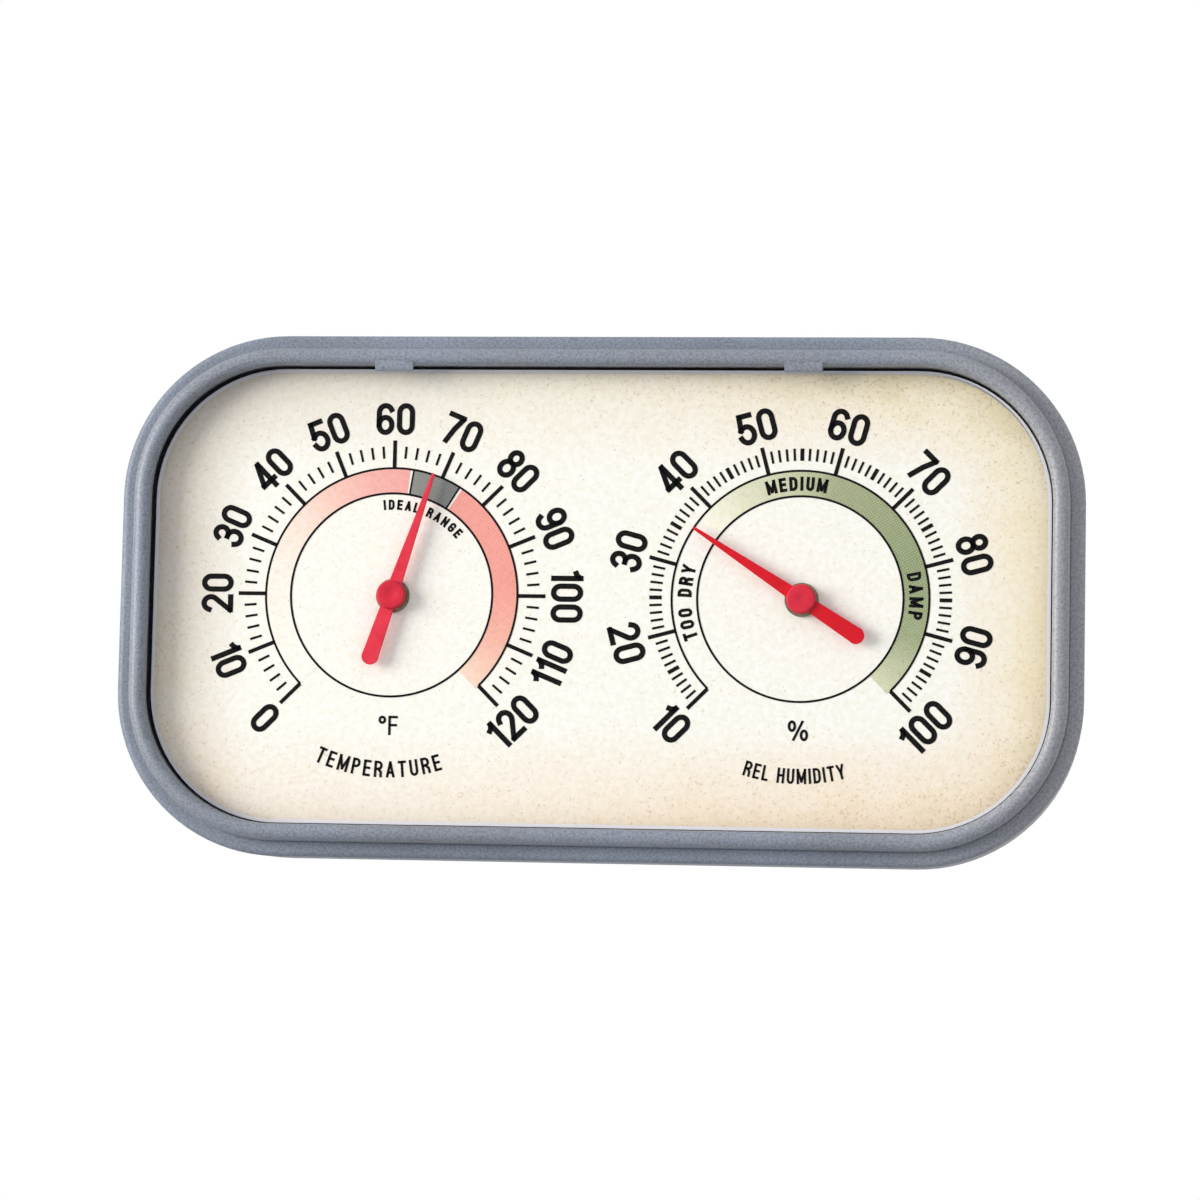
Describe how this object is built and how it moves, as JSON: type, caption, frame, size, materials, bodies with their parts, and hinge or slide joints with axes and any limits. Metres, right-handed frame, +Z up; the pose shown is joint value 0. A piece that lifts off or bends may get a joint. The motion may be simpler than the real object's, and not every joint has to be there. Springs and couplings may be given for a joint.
{
  "type": "dial thermo-hygrometer",
  "caption": "Wide analogue room gauge with a thermometer scale and a humidity scale on one cream dial, each with a red pointer, in a rounded case for a desk or a wall.",
  "frame": {"origin": "under the middle of the case, on the surface that it stands on", "axes": "+Z up, +X to the right along the dial as it is read, -Y out of the dial towards the reader, +Y to the wall behind it"},
  "size_m": [0.165, 0.024, 0.0896],
  "materials": {
    "case_plastic": "moulded blue-grey, fine satin",
    "window_plastic": "clear, polished",
    "dial_print": "printed cream, matt",
    "dial_metal": "rolled sheet",
    "brass": "turned",
    "bush_metal": "turned and oxidised dark",
    "steel": "zinc plated sheet and drawn wire",
    "bimetal": "rolled bimetal strip",
    "humidity_strip": "coated paper on foil",
    "pointer_red": "satin red paint"
  },
  "bodies": {
    "case": {"rear_case": "case_plastic", "bezel": "case_plastic", "window": "window_plastic", "dial_face": "dial_print", "dial_plate": "dial_metal", "thermo_bush": "bush_metal", "thermo_bracket": "steel", "thermo_stud": "brass", "thermo_coil": "bimetal", "hygro_bush": "bush_metal", "hygro_bracket": "steel", "hygro_stud": "brass", "hygro_coil": "humidity_strip"},
    "thermo_movement": {"thermo_shaft": "steel", "thermo_collet": "brass", "thermo_pointer": "pointer_red", "thermo_hub": "pointer_red"},
    "hygro_movement": {"hygro_shaft": "steel", "hygro_collet": "brass", "hygro_pointer": "pointer_red", "hygro_hub": "pointer_red"}
  },
  "joints": [
    {"name": "temperature", "type": "hinge", "parent": "case", "child": "thermo_movement", "pos_m": [-0.035, -0.007, 0.0448], "axis": [0, 1, 0], "range_deg": [-153, 117], "stiffness_Nm_per_rad": 0.0002, "deforming": ["thermo_coil"]},
    {"name": "humidity", "type": "hinge", "parent": "case", "child": "hygro_movement", "pos_m": [0.035, -0.007, 0.0448], "axis": [0, 1, 0], "range_deg": [-78, 192], "stiffness_Nm_per_rad": 0.0002, "deforming": ["hygro_coil"]}
  ]
}
